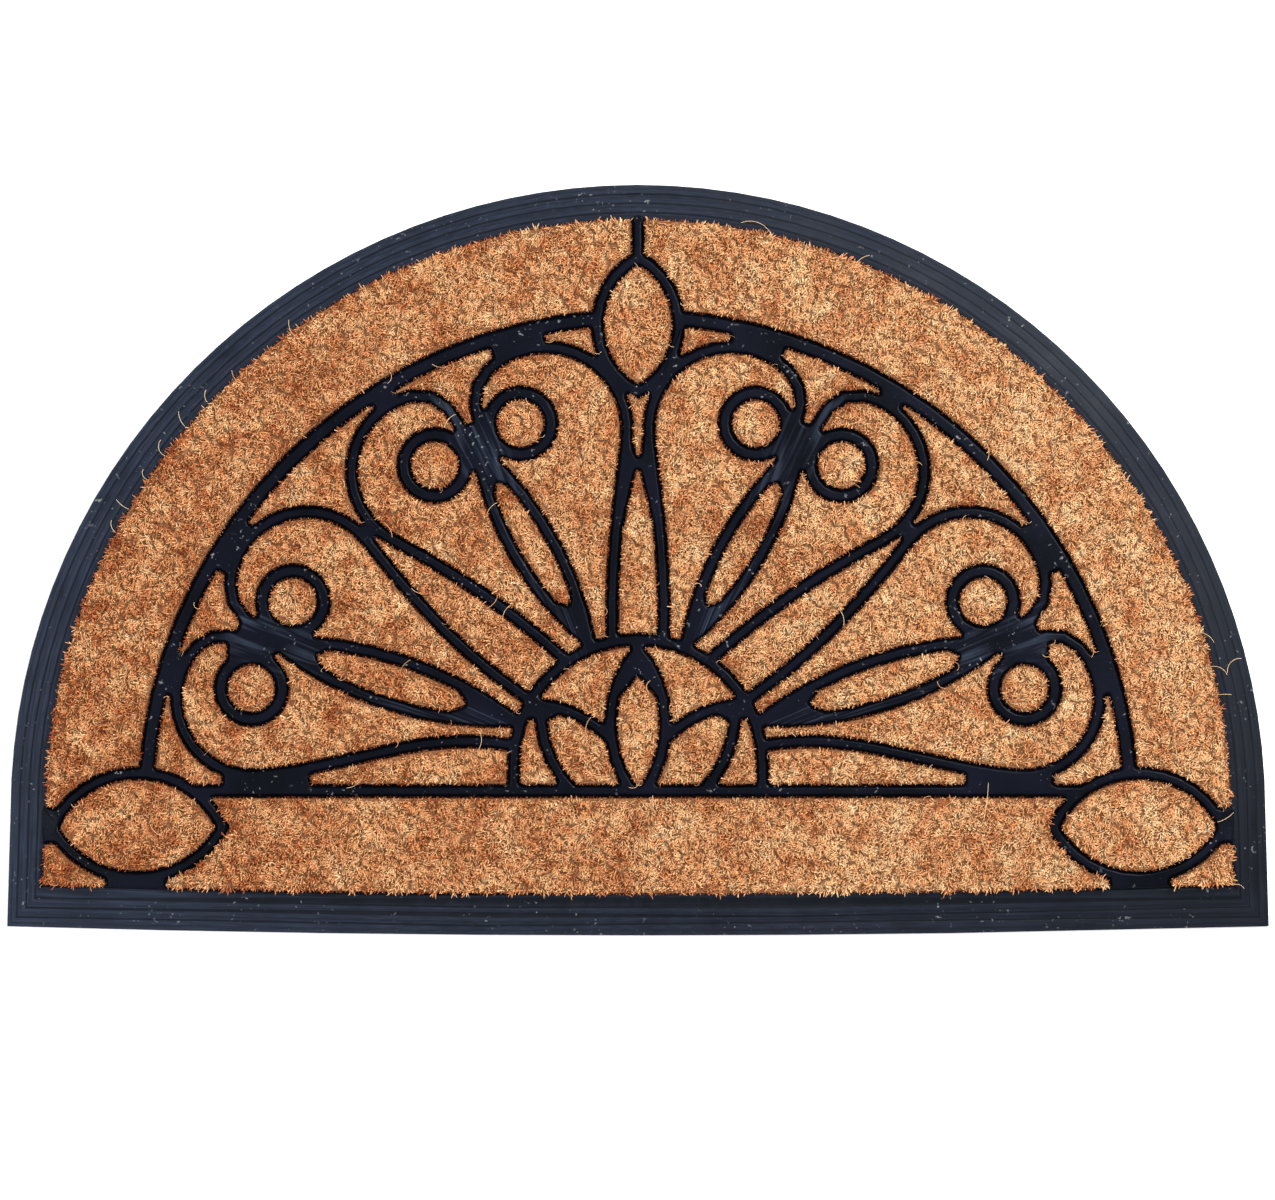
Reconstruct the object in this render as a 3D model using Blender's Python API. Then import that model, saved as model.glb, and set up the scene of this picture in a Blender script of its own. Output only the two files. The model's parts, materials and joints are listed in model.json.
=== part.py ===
# Half-round coir doormat: a moulded rubber tray with a ribbed border and a raised scroll pattern,
# and one field of coir pile in each compartment that the ridges leave.
# The plan is drawn in millimetres, with x across, y up from the pattern's baseline towards the crown,
# and the left half a mirror of the right. The solids are in metres, with the straight edge towards -Y.

import math

import bmesh
import bpy
from mathutils import Vector
from mathutils.geometry import delaunay_2d_cdt

MM = 0.001

# Outline: a half round of this radius on short, slightly flared sides and a bowed straight edge.
ARCH_RADIUS = 379.0
HALF_WIDTH = 381.0
SIDE_HEIGHT = 69.0
EDGE_BOW = 5.5
BASELINE_HEIGHT = 82.0
ARCH_CENTRE_Y = SIDE_HEIGHT - BASELINE_HEIGHT
TOTAL_DEPTH = ARCH_RADIUS + SIDE_HEIGHT + EDGE_BOW
MIDDLE_Y = ARCH_CENTRE_Y + ARCH_RADIUS - TOTAL_DEPTH / 2

# Border: flat ribs that rise a little inwards, with a narrow groove between each two. The pile's edge
# lies a little nearer to the rim at the crown, and further from it along the straight edge.
BORDER_WIDTH = 22.4
CROWN_SHIFT = 0.6
STRAIGHT_SHIFT = 3.2
RIBS = 4
RIB_EDGE_HEIGHT = 3.0
RIB_RISE = 0.7
GROOVE_WIDTH = 1.2
GROOVE_DEPTH = 0.7

# Heights above the floor, and the clearances between rubber and coir.
FLOOR = 3.0
LIP = RIB_EDGE_HEIGHT + RIBS * RIB_RISE
RIDGE_TOP = 9.0
RIDGE_DRAFT = 1.4
LIP_BLEND = 1.9
LIP_MARGIN = 0.4
GAP = 0.35
COIR_SHOULDER = 10.4
COIR_TOP = 12.6
SHOULDER_SPREAD = 0.9
CROWN_INSET = 0.4

# Ridges, as the width of the foot.
RIDGE = 8.4
ARCH_RIDGE = 10.4
CORNER_RADIUS = 0.8

# Pattern: a fan of four scrolls a side round a small sun, under an inner arch.
INNER_ARCH = {"y": -11.5, "radius": 297.1, "from": 4.3, "to": 85.4}
SUN = {"y": 16.3, "radius": 75.0}
CORNER_LEAF = {"x": 301.8, "y": -22.2, "long": 51.6, "half": 33.0, "low_half": 30.2}
TOP_LEAF = {"x": 0.0, "y": 281.0, "long": 40.5, "half": 24.5}
SUN_LEAF = {"tip": (0.0, 86.0), "foot": (3.85, 0.0), "bow": 14.6}
SIDE_PETAL = {"tip": (58.4, 52.1), "foot": (39.2, 0.0), "heart": (16.0, 31.0), "outer": 6.0, "upper": 4.0}
RING_RADIUS = 18.7
RING_WIDTH = 9.2
RING_PAST_JOINT = 40.0
SLIM_LEAF_OVERRUN = 3.0
BASELINE_OVERRUN = 17.5
TOP_STEM_OVERRUN = 4.0
STEM_PULL = 0.36
CURL_PULL = 0.41

# The scrolls of one side, from the baseline up. Columns: name, head centre and radius, eye centre, pair,
# sense of turn, angle of the foot on the sun, direction of the line at its foot, angles where the line
# meets the head and leaves it.
SCROLLS = (
    ("a_low", 232.0, 55.5, 46.2, 233.0, 61.7, "a", 1, 8.4, 11.0, -95.0, 42.0),
    ("a_high", 199.4, 121.8, 46.4, 207.9, 114.0, "a", -1, 30.5, 34.0, 142.0, 5.0),
    ("b_low", 126.0, 192.6, 46.7, 122.6, 196.2, "b", 1, 55.5, 42.0, -62.0, 76.0),
    ("b_high", 56.0, 218.0, 49.5, 70.9, 221.3, "b", -1, 78.2, 88.0, 187.0, 46.0),
)

# The two pairs. Columns: name, joint of the two scrolls, angle of the slim leaf's tip on the sun, how far
# its outer and inner lines bow, and how far the flat webs in its tips reach, from the sun and the joint.
PAIRS = (
    ("a", 220.0, 90.0, 19.5, 14.3, 13.3, 33.0, 29.0),
    ("b", 97.5, 208.0, 68.3, 12.6, 11.6, 28.0, 27.0),
)

# Flat webs of rubber where lines run together: round at the joints, and wedges in the notches between two
# heads and beside the side petal's tip, as start, direction, length and half width.
JOINT_WEB = 9.0
NOTCH_WEDGES = (
    ((220.0, 90.0), 29.0, 23.8, 6.0),
    ((97.5, 208.0), 70.0, 15.2, 6.0),
    ((58.4, 52.1), 244.0, 12.0, 9.0),
    ((61.0, 52.1), 278.0, 10.5, 5.5),
)

# The webs in the tips of the slim leaves and in the top of the sun's leaf leave a pointed field. The last
# is given as its length, slope and half width.
LEAF_WEB_SLOPE = 10.0
LEAF_WEB_HALF = 8.0
SUN_LEAF_WEB = (18.5, 12.6, 10.5)

# A block under the lowest scroll and a web in the tip of its curl, blocks between the corner leaf and the
# border, and a block between the inner arch and each scroll's head, as degrees to its outer and inner side.
BASELINE_WEB = {"from": 196.0, "to": 252.0, "height": 10.0}
CURL_WEB = ((228.0, 84.0), (249.0, 78.5), (249.0, 93.0), (228.0, 93.0))
CORNER_WEB = {"from": 283.0, "to": 322.4, "low": -62.0, "high": -50.0}
SIDE_WEB = {"from": 347.0, "to": 364.0, "low": -33.0, "high": -8.7}
HEAD_WEBS = {"a_low": (2.3, 3.2), "a_high": (4.3, 2.9), "b_low": (1.8, 1.8), "b_high": (4.3, 2.8)}
HEAD_WEB_OVERLAP = 2.0

# The waist, where the two top scrolls pass on the axis: it points up into the drop and down into
# the petal.
WAIST = (
    ((0.0, 192.0), (4.0, 192.0), (4.0, 203.0), (0.0, 203.0)),
    ((0.4, 203.0), (6.0, 203.0), (6.0, 226.0), (3.2, 226.0)),
    ((0.3, 192.0), (8.1, 158.0), (11.5, 158.0), (11.5, 195.0)),
)

# How finely the plan is drawn: the sag of an arc's chords, the spacing along a free curve, the degrees
# between border points, how far a dropped point may lie off the line, and the bend that gets a round corner.
ARC_SAG = 0.25
CURVE_STEP = 11.0
BORDER_STEP = 3.0
SIMPLIFY = 0.16
ROUND_BEND = 35.0
ROUND_STEP = 45.0
JOINT_WEB_SIDES = 12
EDGE_STEPS = 8

# The least area of a compartment, and the cosine past which a mitre grows no longer.
LEAST_FIELD = 12.0
LEAST_MITRE = 0.75

RUBBER_COLOUR = (0.022, 0.028, 0.040, 1.0)
COIR_COLOUR = (0.42, 0.215, 0.085, 1.0)


def around(centre, radius, angle):
    """The point at this angle in degrees on a circle."""
    return (
        centre[0] + radius * math.cos(math.radians(angle)),
        centre[1] + radius * math.sin(math.radians(angle)),
    )


def arc(centre, radius, start, end):
    """Points along a circle, close enough that the chords stay within ARC_SAG of it."""
    step = 2 * math.degrees(math.acos(1 - ARC_SAG / radius))
    count = max(2, math.ceil(abs(end - start) / step))
    return [around(centre, radius, start + (end - start) * i / count) for i in range(count + 1)]


def bowed(start, end, rise):
    """An arc that stands out by rise to the left of its chord, or to the right if negative."""
    a, b = Vector(start), Vector(end)
    half = (b - a).length / 2
    if abs(rise) < ARC_SAG:
        return [start, end]
    radius = (half * half + rise * rise) / (2 * abs(rise))
    left = Vector((a.y - b.y, b.x - a.x)).normalized() * math.copysign(1, rise)
    centre = (a + b) / 2 + left * (abs(rise) - radius)
    first = math.degrees(math.atan2(a.y - centre.y, a.x - centre.x))
    sweep = 2 * math.degrees(math.asin(min(1, half / radius)))
    if abs(rise) > half:
        sweep = 360 - sweep
    return arc(centre, radius, first, first - math.copysign(sweep, rise))


def bezier(start, start_angle, end, end_angle, pull):
    """A cubic curve between two points and directions, with handles of pull times its chord."""
    a, b = Vector(start), Vector(end)
    reach = (b - a).length * pull
    c = a + reach * Vector(around((0, 0), 1, start_angle))
    d = b - reach * Vector(around((0, 0), 1, end_angle))
    count = max(4, round((b - a).length / CURVE_STEP))
    points = []
    for i in range(count + 1):
        t = i / count
        s = 1 - t
        points.append(tuple(a * s**3 + c * 3 * s * s * t + d * 3 * s * t * t + b * t**3))
    return points


def leaf(size, upright):
    """A closed pointed oval of two arcs."""
    x, y, long, half = size["x"], size["y"], size["long"], size["half"]
    tips = ((x, y - long), (x, y + long)) if upright else ((x - long, y), (x + long, y))
    return bowed(tips[0], tips[1], half)[:-1] + bowed(tips[1], tips[0], size.get("low_half", half))[:-1]


def sun_point(angle, beyond=0.0):
    return around((0, SUN["y"]), SUN["radius"] + beyond, angle)


def scroll_line(row):
    """One scroll's line: from its foot on the sun, round its head and the joint, onto its eye's ring."""
    _, head_x, head_y, head_radius, eye_x, eye_y, pair, turn, foot, foot_angle, entry, leave = row
    joint = next(p for p in PAIRS if p[0] == pair)
    to_joint = math.degrees(math.atan2(joint[2] - eye_y, joint[1] - eye_x))
    landing = to_joint + turn * RING_PAST_JOINT
    head, eye = (head_x, head_y), (eye_x, eye_y)
    top, end = around(head, head_radius, entry), around(head, head_radius, leave)
    stem = bezier(sun_point(foot), foot_angle, top, entry + turn * 90, STEM_PULL)
    tip = around(eye, RING_RADIUS, landing)
    curl = bezier(end, leave + turn * 90, tip, landing + turn * 90, CURL_PULL)
    return stem + arc(head, head_radius, entry, leave)[1:-1] + curl


def slim_leaf_lines(row):
    """The two lines of the slim leaf between a pair of scrolls."""
    _, x, y, tip, outer, inner, _, _ = row
    end = sun_point(tip, SLIM_LEAF_OVERRUN)
    return [bowed((x, y), end, outer), bowed((x, y), end, -inner)]


def sun_leaf_line():
    """The sun's leaf, from foot to foot over its tip."""
    half = bowed(SUN_LEAF["tip"], SUN_LEAF["foot"], SUN_LEAF["bow"])
    return [(-x, y) for x, y in half[:0:-1]] + half


def pattern_lines():
    """Every ridge's centre line as points, foot width and closed or open, for both sides."""
    right = []
    arch = arc((0, INNER_ARCH["y"]), INNER_ARCH["radius"], INNER_ARCH["from"], INNER_ARCH["to"])
    right.append((arch, ARCH_RIDGE, False))
    right.append((leaf(CORNER_LEAF, upright=False), RIDGE, True))
    for row in SCROLLS:
        right.append((scroll_line(row), RIDGE, False))
        right.append((arc((row[4], row[5]), RING_RADIUS, 0, 360)[:-1], RING_WIDTH, True))
    for row in PAIRS:
        right += [(line, RIDGE, False) for line in slim_leaf_lines(row)]
    petal = SIDE_PETAL
    right.append((bowed(petal["tip"], petal["foot"], petal["outer"]), RIDGE, False))
    right.append((bowed(petal["tip"], petal["heart"], -petal["upper"]), RIDGE, False))
    left = [([(-x, y) for x, y in points], width, closed) for points, width, closed in right]

    reach = CORNER_LEAF["x"] - CORNER_LEAF["long"] + BASELINE_OVERRUN
    sun = [(SUN["radius"], 0)] + arc((0, SUN["y"]), SUN["radius"], 0, 180) + [(-SUN["radius"], 0)]
    stem_top = ARCH_CENTRE_Y + ARCH_RADIUS - BORDER_WIDTH + TOP_STEM_OVERRUN
    middle = [
        ([(-reach, 0), (reach, 0)], RIDGE, False),
        (sun, RIDGE, False),
        (sun_leaf_line(), RIDGE, False),
        (leaf(TOP_LEAF, upright=True), RIDGE, True),
        ([(0, TOP_LEAF["y"] + TOP_LEAF["long"]), (0, stem_top)], RIDGE, False),
    ]
    return right + left + middle


def block(low, high):
    """A rectangle between two corners."""
    return [low, (high[0], low[1]), high, (low[0], high[1])]


def wedge(start, angle, length, half):
    """A triangle that widens from start to half each way at its far end."""
    end = Vector(around(start, length, angle))
    aside = Vector(around((0, 0), half, angle + 90))
    return [start, tuple(end - aside), tuple(end + aside)]


def split_wedge(start, angle, length, slope, half):
    """Two triangles that fill a leaf's tip and leave its field a point at length from start."""
    _, right, left = wedge(start, angle, length + slope, half)
    middle = around(start, length, angle)
    return [[start, right, middle], [start, middle, left]]


def web_patches():
    """The flat webs of both sides as convex polygons, anticlockwise."""
    right = [list(patch) for patch in (*WAIST, CURL_WEB)]
    right.append(block((BASELINE_WEB["from"], 0), (BASELINE_WEB["to"], BASELINE_WEB["height"])))
    right += [block((web["from"], web["low"]), (web["to"], web["high"])) for web in (CORNER_WEB, SIDE_WEB)]
    right += [wedge(*row) for row in NOTCH_WEDGES]
    for _, x, y, tip, _, _, foot_web, joint_web in PAIRS:
        sides = range(JOINT_WEB_SIDES)
        right.append([around((x, y), JOINT_WEB, 360 * i / JOINT_WEB_SIDES) for i in sides])
        foot = sun_point(tip, SLIM_LEAF_OVERRUN)
        outward = math.degrees(math.atan2(y - foot[1], x - foot[0]))
        right += split_wedge(foot, outward, foot_web, LEAF_WEB_SLOPE, LEAF_WEB_HALF)
        right += split_wedge((x, y), outward + 180, joint_web, LEAF_WEB_SLOPE, LEAF_WEB_HALF)
    for row in SCROLLS:
        away = Vector((row[1], row[2] - INNER_ARCH["y"]))
        middle = math.degrees(math.atan2(away.y, away.x))
        near, far = away.length + row[3] - HEAD_WEB_OVERLAP, INNER_ARCH["radius"]
        outer, inner = HEAD_WEBS[row[0]]
        corners = ((near, -outer), (far, -outer), (far, inner), (near, inner))
        right.append([around((0, INNER_ARCH["y"]), r, middle + turn) for r, turn in corners])
    left = [[(-x, y) for x, y in reversed(patch)] for patch in right]
    return right + left + split_wedge(SUN_LEAF["tip"], -90, *SUN_LEAF_WEB)


def strip(points, half, closed):
    """Quads with mitred joints along a line, this far out to each side of it."""
    count = len(points)
    sides = []
    for i in range(count):
        here = Vector(points[i])
        before = Vector(points[i - 1]) if closed or i else None
        after = Vector(points[(i + 1) % count]) if closed or i < count - 1 else None
        ways = [(here - before).normalized()] if before is not None else []
        ways += [(after - here).normalized()] if after is not None else []
        normals = [Vector((-way.y, way.x)) for way in ways]
        out = sum(normals, Vector((0, 0))).normalized()
        out *= half / max(LEAST_MITRE, out.dot(normals[0]))
        sides.append((here + out, here - out))
    pairs = [(i, (i + 1) % count) for i in range(count if closed else count - 1)]
    return [[sides[i][0], sides[i][1], sides[j][1], sides[j][0]] for i, j in pairs]


def mat_outline(inset, crown=0.0, straight=0.0):
    """The mat's outline, moved in by inset and up at the crown and straight edge, always as many points."""
    radius = ARCH_RADIUS - inset
    count = round(180 / BORDER_STEP)
    points = [around((0, ARCH_CENTRE_Y + crown), radius, 180 * i / count) for i in range(count + 1)]
    half = HALF_WIDTH - inset
    corner_y = ARCH_CENTRE_Y - SIDE_HEIGHT + inset + straight
    for i in range(EDGE_STEPS + 1):
        x = -half + 2 * half * i / EDGE_STEPS
        points.append((x, corner_y - EDGE_BOW * (1 - (x / half) ** 2)))
    return points


def pile_outline(inset):
    """The outline that the pile and the border's inner lip follow."""
    return mat_outline(inset, CROWN_SHIFT, STRAIGHT_SHIFT)


def field_cores():
    """Each compartment's core: what the plan leaves when every ridge is drawn CORNER_RADIUS wider."""
    polygons = [pile_outline(BORDER_WIDTH + CORNER_RADIUS)]
    for points, width, closed in pattern_lines():
        polygons += strip(points, width / 2 + CORNER_RADIUS, closed)
    polygons += web_patches()
    points, faces = [], []
    for polygon in polygons:
        faces.append(list(range(len(points), len(points) + len(polygon))))
        points += [Vector(p) for p in polygon]
    found, _, triangles, _, _, inside = delaunay_2d_cdt(points, [], faces, 0, 1e-4, True)
    free = [t for t, where in zip(triangles, inside) if set(where) == {0}]
    bm = bmesh.new()
    verts = [bm.verts.new((p.x, p.y, 0)) for p in found]
    for t in free:
        bm.faces.new([verts[i] for i in t])
    cores = []
    waiting = set(bm.faces)
    for face in bm.faces:
        if face not in waiting:
            continue
        waiting.discard(face)
        group, queue = [face], [face]
        while queue:
            for edge in queue.pop().edges:
                for other in edge.link_faces:
                    if other in waiting:
                        waiting.discard(other)
                        group.append(other)
                        queue.append(other)
        if sum(f.calc_area() for f in group) > LEAST_FIELD:
            cores.append(simplified(rim_of(group)))
    bm.free()
    return cores


def rim_of(group):
    """The outline of a group of faces, anticlockwise."""
    members = set(group)
    follow = {}
    for face in group:
        for loop in face.loops:
            if not any(other in members for other in loop.edge.link_faces if other != face):
                follow[loop.vert] = loop.link_loop_next.vert
    start = next(iter(follow))
    rim, vert = [start], follow[start]
    while vert != start:
        rim.append(vert)
        vert = follow[vert]
    points = [(v.co.x, v.co.y) for v in rim]
    return points if signed_area(points) > 0 else points[::-1]


def signed_area(points):
    return sum(a[0] * b[1] - b[0] * a[1] for a, b in zip(points, points[1:] + points[:1])) / 2


def simplified(points):
    """The outline without the points that change it by less than SIMPLIFY."""
    points = list(points)
    while len(points) > 4:
        best, place = SIMPLIFY, None
        for i, here in enumerate(points):
            a, b = Vector(points[i - 1]), Vector(points[(i + 1) % len(points)])
            chord = b - a
            off = Vector(here) - a
            away = abs(chord.cross(off)) / max(chord.length, 1e-6)
            if away < best:
                best, place = away, i
        if place is None:
            break
        points.pop(place)
    return points


def grown(points, distance):
    """The outline moved out by distance, round at its corners, with as many points for every distance."""
    result = []
    count = len(points)
    for i, here in enumerate(points):
        before, after = Vector(points[i - 1]), Vector(points[(i + 1) % count])
        come, go = (Vector(here) - before).normalized(), (after - Vector(here)).normalized()
        out_a, out_b = Vector((come.y, -come.x)), Vector((go.y, -go.x))
        bend = math.degrees(math.atan2(come.cross(go), come.dot(go)))
        if bend > ROUND_BEND:
            steps = max(1, round(bend / ROUND_STEP))
            first = math.degrees(math.atan2(out_a.y, out_a.x))
            result += [around(here, distance, first + bend * k / steps) for k in range(steps + 1)]
        else:
            out = (out_a + out_b).normalized()
            result.append(tuple(Vector(here) + out * distance / max(LEAST_MITRE, out.dot(out_a))))
    return result


def inside(point, polygon):
    hit = False
    for a, b in zip(polygon, polygon[1:] + polygon[:1]):
        if (a[1] > point[1]) != (b[1] > point[1]):
            if point[0] < a[0] + (b[0] - a[0]) * (point[1] - a[1]) / (b[1] - a[1]):
                hit = not hit
    return hit


def field_seeds():
    """A point inside each compartment, by its name."""
    border_inner = ARCH_RADIUS - BORDER_WIDTH
    band = (border_inner + INNER_ARCH["radius"]) / 2
    right = {
        "band": around((0, ARCH_CENTRE_Y), band, 45),
        "corner": (HALF_WIDTH - BORDER_WIDTH - 8, ARCH_CENTRE_Y - SIDE_HEIGHT + BORDER_WIDTH + 9),
        "corner_leaf": (CORNER_LEAF["x"], CORNER_LEAF["y"]),
        "spandrel_1": (285, 25),
        "spandrel_2": (256, 112),
        "spandrel_3": (194, 193),
        "spandrel_4": (112, 248),
        "spandrel_5": (34, 272),
        "lobe_a_low": (172, 37),
        "lobe_a_high": (160, 108),
        "lobe_b_low": (105, 150),
        "lobe_b_high": (35, 180),
        "petal": (100, 98),
        "half_petal": (115, 12),
        "sun_side": (40, 25),
        "sun_upper": (33, 62),
        "sun_lower": (64, 10),
    }
    for row in SCROLLS:
        right["eye_" + row[0]] = (row[4], row[5])
    for name, x, y, tip, *_ in PAIRS:
        end = sun_point(tip)
        right["slim_leaf_" + name] = ((x + end[0]) / 2, (y + end[1]) / 2)
    seeds = {f"coir_{name}_right": point for name, point in right.items()}
    seeds |= {f"coir_{name}_left": (-point[0], point[1]) for name, point in right.items()}
    seeds["coir_bottom_band"] = (0, -30)
    seeds["coir_top_leaf"] = (TOP_LEAF["x"], TOP_LEAF["y"])
    seeds["coir_top_drop"] = (0, 229)
    seeds["coir_centre_petal"] = (0, 140)
    seeds["coir_sun_leaf"] = (0, 40)
    return seeds


def named_fields():
    """Each compartment's core under its name."""
    cores = field_cores()
    fields = {}
    for name, seed in sorted(field_seeds().items()):
        found = [core for core in cores if inside(seed, core)]
        if len(found) != 1:
            raise ValueError(f"{name} lies in {len(found)} compartments")
        fields[name] = found[0]
    if len(fields) != len(cores) or len({id(core) for core in fields.values()}) != len(cores):
        raise ValueError(f"{len(cores)} compartments for {len(fields)} names")
    return fields


def material(name, colour, roughness):
    made = bpy.data.materials.new(name)
    made.use_nodes = True
    shader = made.node_tree.nodes["Principled BSDF"]
    shader.inputs["Base Color"].default_value = colour
    shader.inputs["Roughness"].default_value = roughness
    shader.inputs["Metallic"].default_value = 0.0
    return made


def add_object(name, bm, parent):
    """A new object from a bmesh whose numbers are millimetres in the plan's frame."""
    bmesh.ops.recalc_face_normals(bm, faces=bm.faces)
    for vert in bm.verts:
        vert.co = Vector((vert.co.x, vert.co.y - MIDDLE_Y, vert.co.z)) * MM
    mesh = bpy.data.meshes.new(name)
    bm.to_mesh(mesh)
    bm.free()
    made = bpy.data.objects.new(name, mesh)
    bpy.context.scene.collection.objects.link(made)
    made.parent = parent
    return made


def border_contours():
    """The border's contour lines from the outer edge in, as inset and height."""
    rib = BORDER_WIDTH / RIBS
    lines = [(0.0, RIB_EDGE_HEIGHT)]
    for i in range(1, RIBS):
        height = RIB_EDGE_HEIGHT + i * RIB_RISE
        lines.append((i * rib - GROOVE_WIDTH / 2, height))
        lines.append((i * rib, height - GROOVE_DEPTH))
        lines.append((i * rib + GROOVE_WIDTH / 2, height))
    return lines


def rubber_tray(fields, parent):
    """The moulded tray: a height field over the base, with its pockets, ridges and ribbed border."""
    rings = []
    for inset, height in border_contours():
        rings.append([(x, y, height) for x, y in mat_outline(inset)])
    lip_edge = pile_outline(BORDER_WIDTH - RIDGE_DRAFT - LIP_BLEND)
    lip_inner = pile_outline(BORDER_WIDTH - RIDGE_DRAFT + LIP_MARGIN)
    rings.append([(x, y, LIP) for x, y in lip_edge])
    for core in fields.values():
        rings.append([(x, y, FLOOR) for x, y in grown(core, CORNER_RADIUS)])
        top = []
        for x, y in grown(core, CORNER_RADIUS + RIDGE_DRAFT):
            top.append((x, y, RIDGE_TOP if inside((x, y), lip_inner) else LIP))
        rings.append(top)
    points, faces, heights = [], [], []
    for ring in rings:
        faces.append(list(range(len(points), len(points) + len(ring))))
        points += [Vector((x, y)) for x, y, _ in ring]
        heights += [z for _, _, z in ring]
    found, _, triangles, sources, _, where = delaunay_2d_cdt(points, [], faces, 1, 1e-4, True)
    bm = bmesh.new()
    verts = []
    for point, origin in zip(found, sources):
        if not origin:
            raise ValueError(f"contour lines cross near {tuple(point)}")
        verts.append(bm.verts.new((point.x, point.y, heights[origin[0]])))
    for t in triangles:
        bm.faces.new([verts[i] for i in t])
    rim = [edge for edge in bm.edges if edge.is_boundary]
    walls = bmesh.ops.extrude_edge_only(bm, edges=rim)["geom"]
    lower = [item for item in walls if isinstance(item, bmesh.types.BMVert)]
    for vert in lower:
        vert.co.z = 0.0
    lower_edges = [item for item in walls if isinstance(item, bmesh.types.BMEdge) and item.is_boundary]
    bmesh.ops.edgeloop_fill(bm, edges=lower_edges)
    tray = add_object("rubber_tray", bm, parent)
    tray.data.materials.append(material("black_rubber", RUBBER_COLOUR, 0.55))
    return tray


def coir_field(name, core, finish, parent):
    """One compartment's pile: it stands on the floor of its pocket and spreads a little above the ridges."""
    foot = CORNER_RADIUS - GAP
    bm = bmesh.new()
    face = bm.faces.new([bm.verts.new((x, y, FLOOR + GAP)) for x, y in grown(core, foot)])
    for out, z in ((foot + SHOULDER_SPREAD, COIR_SHOULDER), (CORNER_RADIUS - CROWN_INSET, COIR_TOP)):
        raised = bmesh.ops.extrude_face_region(bm, geom=[face, *face.edges, *face.verts])["geom"]
        face = next(item for item in raised if isinstance(item, bmesh.types.BMFace))
        for vert, (x, y) in zip(face.verts, grown(core, out)):
            vert.co = (x, y, z)
    bm.normal_update()
    bmesh.ops.triangulate(bm, faces=bm.faces)
    field = add_object(name, bm, parent)
    field.data.materials.append(finish)
    return field


def main():
    for old in list(bpy.data.objects):
        bpy.data.objects.remove(old)
    mat = bpy.data.objects.new("doormat", None)
    bpy.context.scene.collection.objects.link(mat)
    fields = named_fields()
    rubber_tray(fields, mat)
    coir = material("coir_pile", COIR_COLOUR, 0.95)
    for name, core in fields.items():
        coir_field(name, core, coir, mat)


main()
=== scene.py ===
import json
import math
import random

import bmesh
import bpy
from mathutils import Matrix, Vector

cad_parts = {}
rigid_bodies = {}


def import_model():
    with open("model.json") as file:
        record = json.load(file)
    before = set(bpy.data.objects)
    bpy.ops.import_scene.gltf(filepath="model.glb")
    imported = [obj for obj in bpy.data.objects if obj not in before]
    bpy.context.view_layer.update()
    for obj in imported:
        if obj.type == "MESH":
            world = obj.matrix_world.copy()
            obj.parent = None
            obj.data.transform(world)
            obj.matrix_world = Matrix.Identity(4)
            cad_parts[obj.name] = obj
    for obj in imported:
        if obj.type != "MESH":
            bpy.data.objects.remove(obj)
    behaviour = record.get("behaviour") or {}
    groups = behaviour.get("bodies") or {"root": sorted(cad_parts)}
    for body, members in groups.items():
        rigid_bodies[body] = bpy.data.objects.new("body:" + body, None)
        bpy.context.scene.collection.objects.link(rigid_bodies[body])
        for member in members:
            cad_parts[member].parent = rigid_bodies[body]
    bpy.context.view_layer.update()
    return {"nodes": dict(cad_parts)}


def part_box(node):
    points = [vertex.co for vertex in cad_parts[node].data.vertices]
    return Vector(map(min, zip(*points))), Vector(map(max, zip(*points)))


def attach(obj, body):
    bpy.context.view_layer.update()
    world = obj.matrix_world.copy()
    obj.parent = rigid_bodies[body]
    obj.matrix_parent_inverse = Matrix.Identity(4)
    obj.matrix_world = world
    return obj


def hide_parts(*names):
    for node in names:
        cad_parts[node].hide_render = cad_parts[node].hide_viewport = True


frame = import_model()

# Half-round doormat: a moulded rubber tray with coir pile in its pockets
mm = 0.001  # lengths in the dictionaries are in millimetres, apart from the studio's


def clearSelection():
    if bpy.context.object and bpy.context.object.mode != "OBJECT":
        bpy.ops.object.mode_set(mode="OBJECT")
    bpy.ops.object.select_all(action="DESELECT")


def pickOnly(piece):
    clearSelection()
    piece.select_set(True)
    bpy.context.view_layer.objects.active = piece


def editPiece(piece):
    pickOnly(piece)
    bpy.ops.object.mode_set(mode="EDIT")
    bpy.ops.mesh.select_mode(type="VERT")
    bpy.ops.mesh.select_all(action="DESELECT")


def selectParts(piece, kind, test):
    # kind is "verts", "edges" or "faces" of the mesh in edit mode
    mesh = bmesh.from_edit_mesh(piece.data)
    mesh.normal_update()
    for part in getattr(mesh, kind):
        if test(part):
            part.select_set(True)
    bmesh.update_edit_mesh(piece.data)


def turnSelected(axis, angle):
    bpy.ops.transform.rotate(value=angle, orient_axis=axis, center_override=(0, 0, 0))


def placeHere(piece):
    pickOnly(piece)
    bpy.ops.object.transform_apply(location=True, rotation=True, scale=True)


def joinPieces(pieces, name):
    clearSelection()
    for piece in pieces:
        piece.select_set(True)
    bpy.context.view_layer.objects.active = pieces[0]
    bpy.ops.object.join()
    joined = bpy.context.object
    joined.name = joined.data.name = name
    return joined


def moveTo(collection, piece):
    for holder in list(piece.users_collection):
        holder.objects.unlink(piece)
    collection.objects.link(piece)


def copyOfNode(nodeName, pieceName):
    source = frame["nodes"][nodeName]
    piece = source.copy()
    piece.data = source.data.copy()
    piece.name = piece.data.name = pieceName
    piece.parent = None
    piece.matrix_world = source.matrix_world.copy()
    piece.data.materials.clear()
    bpy.context.scene.collection.objects.link(piece)
    return piece


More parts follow.
